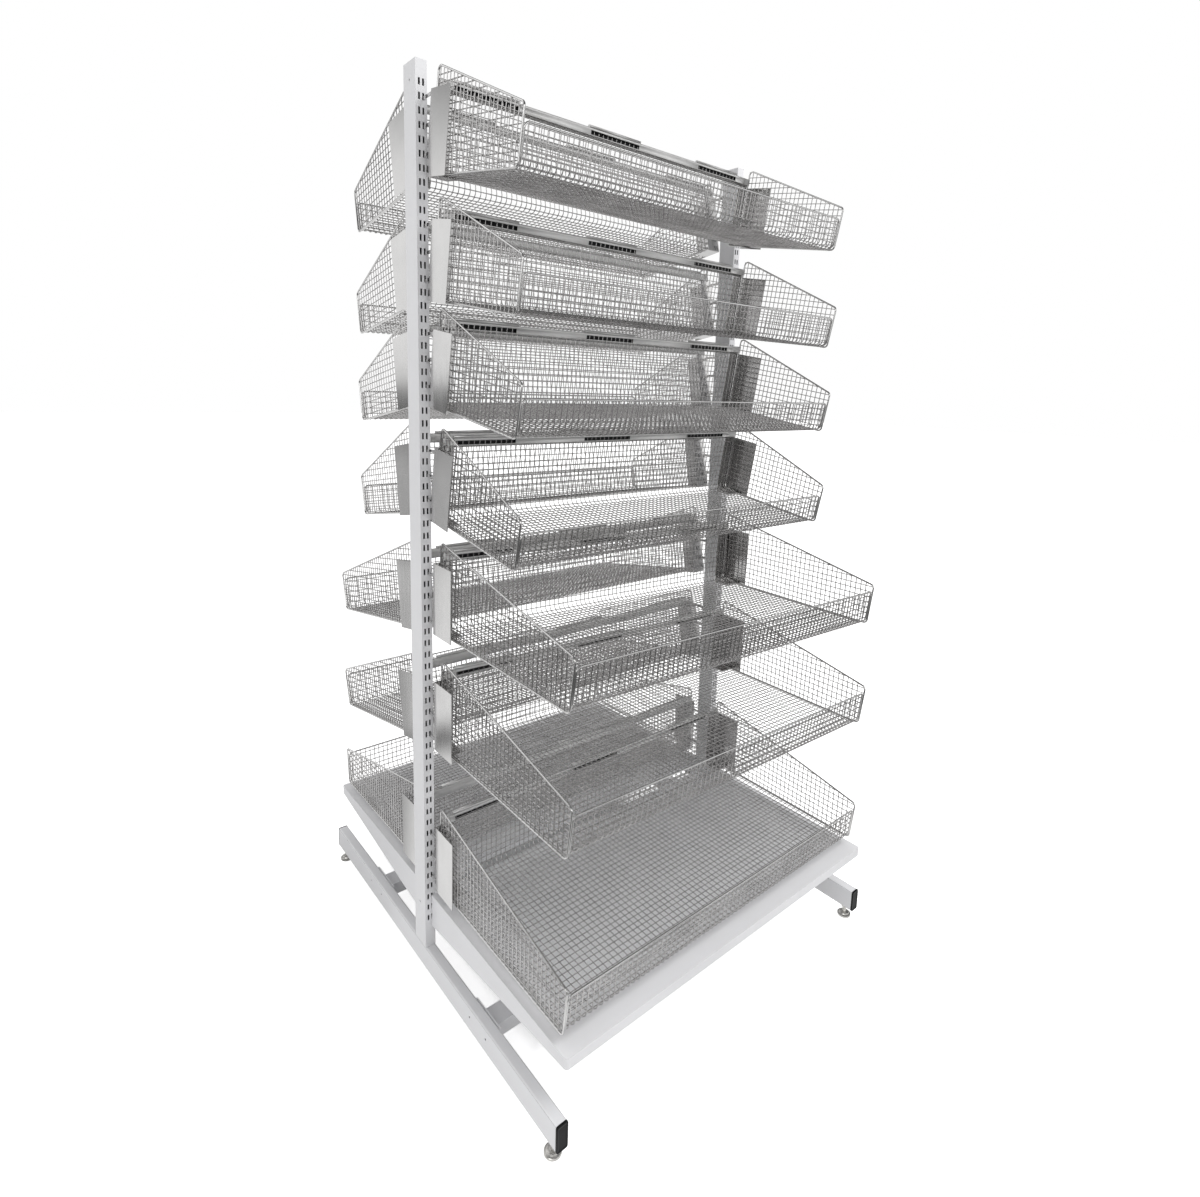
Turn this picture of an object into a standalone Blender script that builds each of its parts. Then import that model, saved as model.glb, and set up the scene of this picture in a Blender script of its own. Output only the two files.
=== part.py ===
# Double-sided wire basket display unit: two slotted uprights on feet, two base decks and
# fourteen wire baskets that hang from the slots by hook brackets.
# Metres, +Z up, the front is -Y, and the origin is on the floor at the middle of the unit.

import math

import bmesh
import bpy

# Clearance left between pieces that touch or rest on each other.
FIT_GAP = 0.0003

# Feet: rounded rectangular tubes that run front to back, with a plug at each end.
FOOT_LENGTH = 1.030
FOOT_WIDTH = 0.024
FOOT_HEIGHT = 0.052
FOOT_WALL = 0.002
FOOT_ROUND = 0.004
FOOT_BOTTOM = 0.028
CAP_FLANGE = 0.004
CAP_PLUG = 0.016
BOLT_HOLE = 0.005
BOLT_SPACING = 0.062
BOLT_DROP = 0.020

# Levelling feet: a disc on a threaded stud with a lock nut.
LEVELLER_DISC = 0.032
LEVELLER_EDGE = 0.005
LEVELLER_HUB = 0.022
LEVELLER_HUB_TOP = 0.009
LEVELLER_NECK = 0.011
LEVELLER_GAP = 0.0022
STUD = 0.009
STUD_CLEARANCE = 0.0005
STUD_REACH = 0.016
NUT = 0.017
NUT_HEIGHT = 0.006

# Cross rails between the feet, with a bolting plate at each end.
RAIL_Y = 0.250
RAIL_WIDTH = 0.046
RAIL_HEIGHT = 0.030
RAIL_DROP = 0.014
RAIL_PLATE = 0.003
RAIL_PLATE_LENGTH = 0.092
RAIL_PLATE_DROP = 0.002

# Uprights: square-cornered steel tubes with two columns of slots, front and back.
UPRIGHT_SPACING = 0.906
UPRIGHT_WIDTH = 0.023
UPRIGHT_DEPTH = 0.050
UPRIGHT_WALL = 0.002
SLOT_PITCH = 0.025
SLOT_WIDTH = 0.0042
SLOT_HEIGHT = 0.0125
SLOT_COLUMNS = 0.0082
LOWEST_SLOT_RISE = 0.070
TOP_MARGIN = 0.039
SLOT_HEADROOM = 0.020
SIDE_HOLE = 0.005
SIDE_HOLE_RISE = 0.098
SIDE_HOLE_DROP = 0.032

# Hooks, cut from the sheet of a deck or a bracket.
HOOK_NECK = 0.006
HOOK_TIP = 0.003
HOOK_PLAY = 0.0015
HOOK_ROOT = 0.004

# Base decks: folded sheet trays with side skirts that taper towards the front.
DECK_REACH = 0.4915
DECK_STANDOFF = 0.0018
DECK_SHEET = 0.0015
DECK_EDGE = 0.021
DECK_SKIRT = 0.074
DECK_ROUND = 0.006
DECK_TOP_MARGIN = 0.002
DECK_STEPS = (0, 1, 2)

# Baskets: a mesh sheet bent to lip, floor and back, between two sloping side panels.
BASKET_SIDE_GAP = 0.00715
SHALLOW = 0.302
DEEP = 0.448
REAR_HEIGHT = 0.190
FRONT_HEIGHT = 0.097
LIP_HEIGHT = 0.072
BACK_HEIGHT = 0.166
BACK_RAIL_HEIGHT = 0.020
BACK_RAIL_DEPTH = 0.004
MESH = 0.003
SIDE_MESH = 0.004
SIDE_REVEAL = 0.001
SHEET_BEND = 0.018
CORNER_ROUND = 0.011
SHALLOW_LEAN = 2.0
DEEP_LEAN = 4.9

# Hook brackets: folded sheet, with a leg beside the basket, a leg behind it and a shelf under it.
BRACKET_SHEET = 0.0015
BRACKET_DEPTH = 0.074
BRACKET_SHELF = 0.046
SHELF_GAP = 0.0012
BRACKET_HEAD = 0.0065
BRACKET_LEG = 0.042
BRACKET_PIVOT = 0.071
BRACKET_STANDOFF = 0.0215
HOOK_STEPS = (4, 2, 0)
DROP_TILTED = 0.0395
DROP_LEVEL = 0.0235

# Levels from the bottom up: level, least space over what is below it, then for the front and
# for the back its depth, forward tilt in degrees and slots that its right end hangs lower.
LEVELS = (
    (7, 0.020, (DEEP, 1.0, 0), (DEEP, 1.0, 0)),
    (6, 0.130, (DEEP, 1.0, 1), (DEEP, 11.0, 0)),
    (5, 0.055, (DEEP, 1.0, 1), (DEEP, 9.3, 0)),
    (4, 0.055, (SHALLOW, 9.3, 0), (SHALLOW, 9.3, 0)),
    (3, 0.030, (SHALLOW, 9.3, 0), (SHALLOW, 9.3, 0)),
    (2, 0.005, (SHALLOW, 9.3, 0), (SHALLOW, 9.3, 0)),
    (1, 0.030, (SHALLOW, 9.3, 0), (SHALLOW, 9.3, 0)),
)
LEVEL_TILT = 5.0

SIDES = (("left", -1), ("right", 1))
ENDS = (("front", -1), ("back", 1))
FOOT_TOP = FOOT_BOTTOM + FOOT_HEIGHT
UPRIGHT_X = UPRIGHT_SPACING / 2
SLOT_X = UPRIGHT_X - SLOT_COLUMNS / 2
LOWEST_SLOT = FOOT_TOP + LOWEST_SLOT_RISE
HOOK_LIP = SLOT_HEIGHT - HOOK_NECK - HOOK_PLAY

# The slot row of each level's lowest hook, counted up from the lowest slot.
LEVEL_ROWS = {}
row = DECK_STEPS[-1]
height_below = DROP_LEVEL
for level, space, _, _ in LEVELS:
    row += math.ceil((height_below + space) / SLOT_PITCH)
    LEVEL_ROWS[level] = row
    height_below = REAR_HEIGHT
SLOT_ROWS = row + HOOK_STEPS[0] + math.ceil(SLOT_HEADROOM / SLOT_PITCH) + 1
TOP_SLOT = LOWEST_SLOT + (SLOT_ROWS - 1) * SLOT_PITCH
UPRIGHT_TOP = TOP_SLOT + TOP_MARGIN

for old in list(bpy.data.objects):
    bpy.data.objects.remove(old, do_unlink=True)

unit = bpy.data.collections.new("wire_basket_unit")
cutters = bpy.data.collections.new("cutters")
bpy.context.scene.collection.children.link(unit)
bpy.context.scene.collection.children.link(cutters)


def material(name, color, roughness, metallic):
    made = bpy.data.materials.new(name)
    made.use_nodes = True
    shader = made.node_tree.nodes["Principled BSDF"]
    shader.inputs["Base Color"].default_value = (*color, 1.0)
    shader.inputs["Roughness"].default_value = roughness
    shader.inputs["Metallic"].default_value = metallic
    return made


WHITE = material("white_powder_coat", (0.80, 0.81, 0.84), 0.45, 0.0)
WIRE = material("bright_wire", (0.60, 0.60, 0.61), 0.30, 1.0)
BRACKET_METAL = material("bracket_steel", (0.72, 0.72, 0.71), 0.38, 1.0)
PLASTIC = material("black_plastic", (0.03, 0.03, 0.03), 0.50, 0.0)
ZINC = material("zinc_plate", (0.62, 0.63, 0.63), 0.32, 1.0)


def add(name, mesh, surface=None):
    """An object for this mesh: a part where it has a surface, otherwise a cutter."""
    obj = bpy.data.objects.new(name, mesh)
    if surface is None:
        cutters.objects.link(obj)
        obj.hide_render = True
        obj.display_type = "WIRE"
    else:
        unit.objects.link(obj)
        mesh.materials.append(surface)
    return obj


def finish_mesh(bm, name):
    bmesh.ops.recalc_face_normals(bm, faces=bm.faces)
    mesh = bpy.data.meshes.new(name)
    bm.to_mesh(mesh)
    bm.free()
    return mesh


def extrude(bm, outline, start, end, axis):
    """Adds the solid that this closed outline sweeps from start to end along X or Y."""
    if axis == "X":
        ring = [bm.verts.new((start, a, b)) for a, b in outline]
        step = (end - start, 0, 0)
    else:
        ring = [bm.verts.new((a, start, b)) for a, b in outline]
        step = (0, end - start, 0)
    face = bm.faces.new(ring)
    swept = bmesh.ops.extrude_face_region(bm, geom=[face], use_keep_orig=True)
    moved = [item for item in swept["geom"] if isinstance(item, bmesh.types.BMVert)]
    bmesh.ops.translate(bm, verts=moved, vec=step)


def prism(name, outlines, axis="X"):
    """A mesh of one or more swept outlines, each given with its start and end."""
    bm = bmesh.new()
    for outline, start, end in outlines:
        extrude(bm, outline, start, end, axis)
    return finish_mesh(bm, name)


def boxes(name, size, centres):
    """Equal boxes, one at each centre."""
    bm = bmesh.new()
    for centre in centres:
        cube = bmesh.ops.create_cube(bm, size=1.0)
        bmesh.ops.scale(bm, vec=size, verts=cube["verts"])
        bmesh.ops.translate(bm, vec=centre, verts=cube["verts"])
    return finish_mesh(bm, name)


def pegs(name, diameter, length, places, axis, segments):
    """Short round cutters along X or Z, one at each place."""
    bm = bmesh.new()
    for place in places:
        peg = bmesh.ops.create_cone(bm, cap_ends=True, segments=segments, depth=length,
                                    radius1=diameter / 2, radius2=diameter / 2)
        if axis == "X":
            for vert in peg["verts"]:
                vert.co = (vert.co.z, vert.co.y, vert.co.x)
        bmesh.ops.translate(bm, vec=place, verts=peg["verts"])
    return finish_mesh(bm, name)


def boolean(obj, other, operation):
    change = obj.modifiers.new(other.name, "BOOLEAN")
    change.operation = operation
    change.solver = "EXACT"
    change.object = other


def rectangle(width, height, bottom):
    half = width / 2
    return [(-half, bottom), (half, bottom), (half, bottom + height), (-half, bottom + height)]


def rounded(corners, radii, steps):
    """The outline through these corners, each turned on an arc of its radius."""
    outline = []
    count = len(corners)
    for index, (corner, radius) in enumerate(zip(corners, radii)):
        before = corners[index - 1]
        after = corners[(index + 1) % count]
        if radius == 0:
            outline.append(corner)
            continue
        a = math.atan2(before[1] - corner[1], before[0] - corner[0])
        b = math.atan2(after[1] - corner[1], after[0] - corner[0])
        turn = math.remainder(b - a, 2 * math.pi)
        reach = radius / math.sin(abs(turn) / 2)
        middle = a + turn / 2
        centre = (corner[0] + reach * math.cos(middle), corner[1] + reach * math.sin(middle))
        start = a - math.copysign(math.pi / 2, turn)
        sweep = math.copysign(math.pi - abs(turn), -turn)
        for step in range(steps + 1):
            angle = start + sweep * step / steps
            outline.append((centre[0] + radius * math.cos(angle),
                            centre[1] + radius * math.sin(angle)))
    return outline


def hang_on_face(obj, end, height):
    """Puts an object's own frame on the uprights' front or back face, its -Y pointing out."""
    obj.location = (0, end * UPRIGHT_DEPTH / 2, height)
    obj.rotation_euler.z = math.pi if end > 0 else 0


def hooks(heights, edge):
    """Outline points (y, z) of hooks in slots at these heights, top first, from the edge y(z)."""
    behind = UPRIGHT_WALL + FIT_GAP
    points = []
    for height in heights:
        low = height - SLOT_HEIGHT / 2 + FIT_GAP
        high = low + HOOK_NECK
        points += [(edge(high), high), (behind + HOOK_TIP, high)]
        points += [(behind + HOOK_TIP, low - HOOK_LIP), (behind, low - HOOK_LIP)]
        points += [(behind, low), (edge(low), low)]
    return points


# Uprights.
upright_bottom = FOOT_TOP + FIT_GAP
upright_height = UPRIGHT_TOP - upright_bottom
upright_middle = upright_bottom + upright_height / 2
bore_size = (UPRIGHT_WIDTH - 2 * UPRIGHT_WALL, UPRIGHT_DEPTH - 2 * UPRIGHT_WALL, upright_height)
side_hole_heights = (FOOT_TOP + SIDE_HOLE_RISE, UPRIGHT_TOP - SIDE_HOLE_DROP)
for side, sign in SIDES:
    x = sign * UPRIGHT_X
    upright = add("upright_" + side,
                  boxes("upright_" + side, (UPRIGHT_WIDTH, UPRIGHT_DEPTH, upright_height), [(0, 0, 0)]),
                  WHITE)
    upright.location = (x, 0, upright_middle)
    bore = add("bore_" + side, boxes("bore_" + side, bore_size, [(0, 0, 0)]))
    bore.location = (x, 0, upright_middle - UPRIGHT_WALL)
    boolean(upright, bore, "DIFFERENCE")
    slots = add("slots_" + side,
                boxes("slots_" + side, (SLOT_WIDTH, 2 * UPRIGHT_DEPTH, SLOT_HEIGHT), [(0, 0, 0)]))
    slots.location = (x - SLOT_COLUMNS / 2, 0, LOWEST_SLOT)
    for count, offset in ((2, (SLOT_COLUMNS, 0, 0)), (SLOT_ROWS, (0, 0, SLOT_PITCH))):
        repeat = slots.modifiers.new("repeat", "ARRAY")
        repeat.count = count
        repeat.use_relative_offset = False
        repeat.use_constant_offset = True
        repeat.constant_offset_displace = offset
    boolean(upright, slots, "DIFFERENCE")
    outer_face = x + sign * UPRIGHT_WIDTH / 2
    holes = add("side_holes_" + side,
                pegs("side_holes_" + side, SIDE_HOLE, 3 * UPRIGHT_WALL,
                     [(outer_face, 0, height) for height in side_hole_heights], "X", 8))
    boolean(upright, holes, "DIFFERENCE")

# Feet with their end caps and levelling feet.
foot_outline = rounded(rectangle(FOOT_WIDTH, FOOT_HEIGHT, 0), [FOOT_ROUND] * 4, 2)
bore_outline = rounded(rectangle(FOOT_WIDTH - 2 * FOOT_WALL, FOOT_HEIGHT - 2 * FOOT_WALL, FOOT_WALL),
                       [FOOT_ROUND - FOOT_WALL] * 4, 2)
plug_inset = FOOT_WALL + FIT_GAP
plug_outline = rounded(rectangle(FOOT_WIDTH - 2 * plug_inset, FOOT_HEIGHT - 2 * plug_inset, plug_inset),
                       [FOOT_ROUND - plug_inset] * 4, 1)
tube_end = FOOT_LENGTH / 2 - CAP_FLANGE - FIT_GAP
leveller_y = tube_end - CAP_PLUG - LEVELLER_GAP - STUD / 2
bolt_height = FOOT_TOP - BOLT_DROP
nut_top = FOOT_BOTTOM - FIT_GAP
leveller_profile = [(0, nut_top + STUD_REACH), (STUD / 2, nut_top + STUD_REACH), (STUD / 2, nut_top),
                    (NUT / 2, nut_top), (NUT / 2, nut_top - NUT_HEIGHT), (STUD / 2, nut_top - NUT_HEIGHT),
                    (STUD / 2, LEVELLER_NECK), (LEVELLER_HUB / 2, LEVELLER_HUB_TOP),
                    (LEVELLER_DISC / 2, LEVELLER_EDGE), (LEVELLER_DISC / 2, 0), (0, 0)]
for side, sign in SIDES:
    x = sign * UPRIGHT_X
    foot = add("base_foot_" + side, prism("base_foot_" + side, [(foot_outline, -tube_end, tube_end)], "Y"),
               WHITE)
    foot.location = (x, 0, FOOT_BOTTOM)
    bore = add("foot_bore_" + side,
               prism("foot_bore_" + side, [(bore_outline, -FOOT_LENGTH, FOOT_LENGTH)], "Y"))
    bore.location = foot.location
    boolean(foot, bore, "DIFFERENCE")
    bolts = [(x + sign * FOOT_WIDTH / 2, end * RAIL_Y + step * BOLT_SPACING / 2, bolt_height)
             for end in (-1, 1) for step in (-1, 1)]
    bolt_holes = add("bolt_holes_" + side,
                     pegs("bolt_holes_" + side, BOLT_HOLE, 3 * FOOT_WALL, bolts, "X", 8))
    boolean(foot, bolt_holes, "DIFFERENCE")
    stud_holes = add("stud_holes_" + side,
                     pegs("stud_holes_" + side, STUD + 2 * STUD_CLEARANCE, 3 * FOOT_WALL,
                          [(x, end * leveller_y, FOOT_BOTTOM) for end in (-1, 1)], "Z", 12))
    boolean(foot, stud_holes, "DIFFERENCE")

    for end_name, end in ENDS:
        label = end_name + "_" + side
        flange = (foot_outline, end * (tube_end + FIT_GAP), end * FOOT_LENGTH / 2)
        cap = add("end_cap_" + label, prism("end_cap_" + label, [flange], "Y"), PLASTIC)
        cap.location = foot.location
        plug_run = (plug_outline, end * (tube_end - CAP_PLUG), end * (FOOT_LENGTH - CAP_FLANGE) / 2)
        plug = add("plug_" + label, prism("plug_" + label, [plug_run], "Y"))
        plug.location = foot.location
        boolean(cap, plug, "UNION")

        mesh = bpy.data.meshes.new("levelling_foot_" + label)
        mesh.from_pydata([(radius, 0, height) for radius, height in leveller_profile],
                         [(i, i + 1) for i in range(len(leveller_profile) - 1)], [])
        leveller = add("levelling_foot_" + label, mesh, ZINC)
        leveller.location = (x, end * leveller_y, 0)
        turn = leveller.modifiers.new("turn", "SCREW")
        turn.steps = 14
        turn.render_steps = 14
        turn.use_merge_vertices = True
        turn.merge_threshold = 0.0001
        turn.use_smooth_shade = True

# Cross rails. A plate reaches from the underside of its rail to just below the foot's top.
rail_end = UPRIGHT_X - FOOT_WIDTH / 2 - FIT_GAP
rail_top = FOOT_TOP - RAIL_DROP
plate_height = RAIL_HEIGHT + RAIL_DROP - RAIL_PLATE_DROP
plate_middle = rail_top - RAIL_HEIGHT + plate_height / 2
for end_name, end in ENDS:
    rail = add("cross_rail_" + end_name,
               boxes("cross_rail_" + end_name, (2 * rail_end - RAIL_PLATE, RAIL_WIDTH, RAIL_HEIGHT),
                     [(0, end * RAIL_Y, rail_top - RAIL_HEIGHT / 2)]),
               WHITE)
    plate_x = rail_end - RAIL_PLATE / 2
    plates = add("rail_plates_" + end_name,
                 boxes("rail_plates_" + end_name, (RAIL_PLATE, RAIL_PLATE_LENGTH, plate_height),
                       [(sign * plate_x, end * RAIL_Y, plate_middle) for sign in (-1, 1)]))
    boolean(rail, plates, "UNION")


def round_front(obj, radius):
    """Bevels the two upright edges at the front of a deck or of its hollow."""
    weights = obj.data.attributes.new("bevel_weight_edge", "FLOAT", "EDGE")
    for edge in obj.data.edges:
        a, b = (obj.data.vertices[i].co for i in edge.vertices)
        if a.x == b.x and max(a.y, b.y) < -DECK_REACH / 2:
            weights.data[edge.index].value = 1.0
    corner = obj.modifiers.new("corner", "BEVEL")
    corner.limit_method = "WEIGHT"
    corner.width = radius
    corner.segments = 3


# Base decks: the outer shape, hollowed from below, with hooks on the skirts.
deck_half = SLOT_X + DECK_SHEET / 2
deck_top = DECK_STEPS[-1] * SLOT_PITCH + DECK_TOP_MARGIN
deck_under = deck_top - 2 * DECK_SKIRT
deck_outline = [(-DECK_STANDOFF, deck_top), (-DECK_REACH, deck_top), (-DECK_REACH, deck_top - DECK_EDGE),
                (-DECK_STANDOFF, deck_top - DECK_SKIRT)]
hollow_back = -DECK_STANDOFF - DECK_SHEET
hollow_front = DECK_SHEET - DECK_REACH
hollow_outline = [(hollow_back, deck_top - DECK_SHEET), (hollow_front, deck_top - DECK_SHEET),
                  (hollow_front, deck_under), (0, deck_under), (0, deck_top - DECK_EDGE),
                  (hollow_back, deck_top - DECK_EDGE)]
hook_edge = -DECK_STANDOFF - HOOK_ROOT
deck_hooks = [hooks([row * SLOT_PITCH], lambda z: hook_edge) for row in DECK_STEPS]
for end_name, end in ENDS:
    deck = add("base_deck_" + end_name,
               prism("base_deck_" + end_name, [(deck_outline, -deck_half, deck_half)]), WHITE)
    round_front(deck, DECK_ROUND)
    inside = deck_half - DECK_SHEET
    hollow = add("deck_hollow_" + end_name,
                 prism("deck_hollow_" + end_name, [(hollow_outline, -inside, inside)]))
    round_front(hollow, DECK_ROUND - DECK_SHEET)
    boolean(deck, hollow, "DIFFERENCE")
    tab_runs = [(outline, sign * deck_half, sign * inside) for outline in deck_hooks for sign in (-1, 1)]
    tabs = add("deck_hooks_" + end_name, prism("deck_hooks_" + end_name, tab_runs))
    boolean(deck, tabs, "UNION")
    for obj in (deck, hollow, tabs):
        hang_on_face(obj, end, LOWEST_SLOT)


def sheet_outline(depth, lean):
    """Side view of the bent sheet: back with its rail, floor and front lip, as (y, z)."""
    reach = LIP_HEIGHT * math.tan(math.radians(lean))
    back = -BRACKET_SHEET - FIT_GAP - SIDE_REVEAL
    front = SIDE_REVEAL - depth
    low = SIDE_REVEAL
    rail_front = back - MESH - BACK_RAIL_DEPTH
    rail_low = BACK_HEIGHT - BACK_RAIL_HEIGHT
    corners = [(back, BACK_HEIGHT), (back, low), (front, low), (front - reach, LIP_HEIGHT),
               (front - reach + MESH, LIP_HEIGHT), (front + MESH, low + MESH), (back - MESH, low + MESH),
               (back - MESH, rail_low), (rail_front, rail_low), (rail_front, BACK_HEIGHT)]
    inner = SHEET_BEND - MESH
    return rounded(corners, [0, SHEET_BEND, SHEET_BEND, 0, 0, inner, inner, 0, 0, 0], 3)


def side_outline(depth, lean):
    """Side panel: tall at the back, sloping down to the front corner, as (y, z)."""
    back = -BRACKET_SHEET - FIT_GAP
    reach = FRONT_HEIGHT * math.tan(math.radians(lean))
    corners = [(back, REAR_HEIGHT), (back, 0), (-depth, 0), (-depth - reach, FRONT_HEIGHT)]
    return rounded(corners, [CORNER_ROUND] * 4, 2)


def bracket_outlines(slot, lean, foot_y, foot_z):
    """Outlines (y, z) of the side leg with its hooks, and of the rear leg with the shelf."""
    top = DROP_TILTED + HOOK_STEPS[0] * SLOT_PITCH + BRACKET_HEAD
    shelf_top = -SHELF_GAP
    bottom = shelf_top - BRACKET_SHEET

    def at(forward, up):
        return (foot_y - forward * math.cos(lean) - up * math.sin(lean),
                foot_z - forward * math.sin(lean) + up * math.cos(lean))

    def rear_edge(z):
        return foot_y - (z - foot_z) * math.tan(lean)

    heights = [slot + step * SLOT_PITCH for step in HOOK_STEPS]
    side_leg = [at(BRACKET_DEPTH, top), at(0, top), *hooks(heights, rear_edge),
                at(0, bottom), at(BRACKET_DEPTH, bottom)]
    rear_leg = [at(0, top), at(0, bottom), at(BRACKET_SHELF, bottom), at(BRACKET_SHELF, shelf_top),
                at(BRACKET_SHEET, shelf_top), at(BRACKET_SHEET, top)]
    return side_leg, rear_leg


# Baskets, each hung with its two brackets from an empty at its hooks' lowest slots.
basket_half = SLOT_X - BRACKET_SHEET / 2 - BASKET_SIDE_GAP
sheet_half = basket_half - SIDE_MESH / 2
shell_meshes = {}
for size_name, depth, lean in (("shallow", SHALLOW, SHALLOW_LEAN), ("deep", DEEP, DEEP_LEAN)):
    sheet = prism("sheet_" + size_name, [(sheet_outline(depth, lean), -sheet_half, sheet_half)])
    panel = side_outline(depth, lean)
    panels = prism("panels_" + size_name, [(panel, -basket_half, SIDE_MESH - basket_half),
                                           (panel, basket_half - SIDE_MESH, basket_half)])
    shell_meshes[depth] = (sheet, panels)


def hang_basket(end_name, end, level, depth, tilt, slots_lower):
    label = end_name + "_" + str(level)
    lean = math.radians(tilt)
    drop = DROP_TILTED if tilt > LEVEL_TILT else DROP_LEVEL
    foot_y = BRACKET_PIVOT * math.sin(lean) - BRACKET_STANDOFF
    hang = bpy.data.objects.new("hang_" + label, None)
    hang.empty_display_size = SLOT_PITCH
    unit.objects.link(hang)
    hang_on_face(hang, end, LOWEST_SLOT + LEVEL_ROWS[level] * SLOT_PITCH)

    right_slot = -slots_lower * SLOT_PITCH
    for sign, slot in ((-1, 0), (1, right_slot)):
        side = "left" if sign * end > 0 else "right"
        name = "bracket_" + label + "_" + side
        side_leg, rear_leg = bracket_outlines(slot, lean, foot_y, slot - drop)
        outer = SLOT_X + BRACKET_SHEET / 2
        inner = SLOT_X - BRACKET_SHEET / 2
        bracket = add(name, prism(name, [(side_leg, sign * outer, sign * inner)]), BRACKET_METAL)
        leg = add("leg_" + label + "_" + side,
                  prism("leg_" + name, [(rear_leg, sign * SLOT_X, sign * (SLOT_X - BRACKET_LEG))]))
        boolean(bracket, leg, "UNION")
        bracket.parent = hang
        leg.parent = hang

    sheet, panels = shell_meshes[depth]
    shell = add("basket_" + label, sheet.copy(), WIRE)
    wings = add("wings_" + label, panels)
    boolean(shell, wings, "UNION")
    for obj in (shell, wings):
        obj.location = (0, foot_y, right_slot / 2 - drop)
        obj.rotation_mode = "YXZ"
        obj.rotation_euler = (lean, math.atan2(-right_slot, 2 * SLOT_X), 0)
        obj.parent = hang


for level, _, front, back in LEVELS:
    hang_basket("front", -1, level, *front)
    hang_basket("back", 1, level, *back)

print("wire basket unit:", len(unit.objects), "objects")
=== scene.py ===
import math

import bpy
import numpy as np
from mathutils import Matrix, Vector


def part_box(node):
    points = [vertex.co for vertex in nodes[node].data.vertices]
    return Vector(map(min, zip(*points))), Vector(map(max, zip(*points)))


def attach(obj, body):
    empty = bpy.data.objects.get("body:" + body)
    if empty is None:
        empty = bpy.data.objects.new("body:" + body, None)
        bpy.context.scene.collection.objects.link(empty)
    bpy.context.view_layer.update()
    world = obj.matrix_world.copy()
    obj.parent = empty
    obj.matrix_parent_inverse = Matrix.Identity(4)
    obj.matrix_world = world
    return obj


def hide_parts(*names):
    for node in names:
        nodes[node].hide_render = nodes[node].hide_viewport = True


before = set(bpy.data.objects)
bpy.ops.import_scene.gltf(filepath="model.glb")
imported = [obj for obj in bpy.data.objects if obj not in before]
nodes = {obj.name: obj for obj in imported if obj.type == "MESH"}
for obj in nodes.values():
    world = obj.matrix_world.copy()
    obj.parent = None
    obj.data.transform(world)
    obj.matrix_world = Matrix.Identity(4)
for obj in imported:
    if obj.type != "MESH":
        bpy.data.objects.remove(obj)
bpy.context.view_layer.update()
scene = bpy.context.scene
rng = np.random.default_rng(7)
print("frame loaded:", len(nodes), "nodes")


# Camera where the photograph was taken from. The picture is a crop, so the lens is shifted.
photoView = {
    "place": (-1.07165, -1.31859, 1.29836), "turn": -40.1013, "down": 8.4016, "roll": 1.5323,
    "lens": 21.138, "sensor": 36, "shift": (-0.0053, -0.0866), "clip": (.05, 60),
}


def makeCamera(v):
    # forward from turn and pitch, right level with the ground, then both rolled about forward
    a, d, r = (math.radians(v[k]) for k in ("turn", "down", "roll"))
    forward = Vector((math.sin(-a) * math.cos(d), math.cos(a) * math.cos(d), -math.sin(d)))
    right = Vector((math.cos(a), math.sin(a), 0))
    up = right.cross(forward)
    x = math.cos(r) * right + math.sin(r) * up
    y = -math.sin(r) * right + math.cos(r) * up
    data = bpy.data.cameras.new("photo_camera")
    data.lens, data.sensor_width = v["lens"], v["sensor"]
    data.shift_x, data.shift_y = v["shift"]
    data.clip_start, data.clip_end = v["clip"]
    cam = bpy.data.objects.new("photo_camera", data)
    cam.matrix_world = Matrix.Translation(v["place"]) @ Matrix((x, y, -forward)).transposed().to_4x4()
    scene.collection.objects.link(cam)
    scene.camera = cam


makeCamera(photoView)


# Node helpers
def newMaterial(name):
    mat = bpy.data.materials.new(name)
    mat.use_nodes = True
    tree = mat.node_tree
    tree.nodes.clear()
    out = tree.nodes.new("ShaderNodeOutputMaterial")
    shade = tree.nodes.new("ShaderNodeBsdfPrincipled")
    tree.links.new(shade.outputs[0], out.inputs["Surface"])
    return mat, tree, shade


def addNode(tree, kind, **values):
    node = tree.nodes.new(kind)
    for key, value in values.items():
        setattr(node, key, value)
    return node


def feed(tree, socket, value):
    if isinstance(value, bpy.types.NodeSocket):
        tree.links.new(value, socket)
    else:
        socket.default_value = value


def mathNode(tree, operation, *values):
    node = addNode(tree, "ShaderNodeMath", operation=operation)
    for socket, value in zip(node.inputs, values):
        feed(tree, socket, value)
    return node.outputs[0]


def noiseNode(tree, vector, scale, detail=3.0, rough=.55):
    node = addNode(tree, "ShaderNodeTexNoise")
    feed(tree, node.inputs["Vector"], vector)
    for key, value in (("Scale", scale), ("Detail", detail), ("Roughness", rough)):
        feed(tree, node.inputs[key], value)
    return node.outputs[0]


def spreadNode(tree, value, low, high, toLow=0.0, toHigh=1.0):
    node = addNode(tree, "ShaderNodeMapRange")
    for socket, v in zip(node.inputs, (value, low, high, toLow, toHigh)):
        feed(tree, socket, v)
    return node.outputs[0]


def mixColour(tree, factor, a, b):
    node = addNode(tree, "ShaderNodeMix", data_type="RGBA")
    for key, value in ((0, factor), (6, a), (7, b)):
        feed(tree, node.inputs[key], value)
    return node.outputs[2]


def stretch(tree, vector, scale):
    node = addNode(tree, "ShaderNodeMapping")
    feed(tree, node.inputs["Vector"], vector)
    node.inputs["Scale"].default_value = scale
    return node.outputs[0]


def objectCoords(tree):
    return addNode(tree, "ShaderNodeTexCoord").outputs["Object"]


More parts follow.
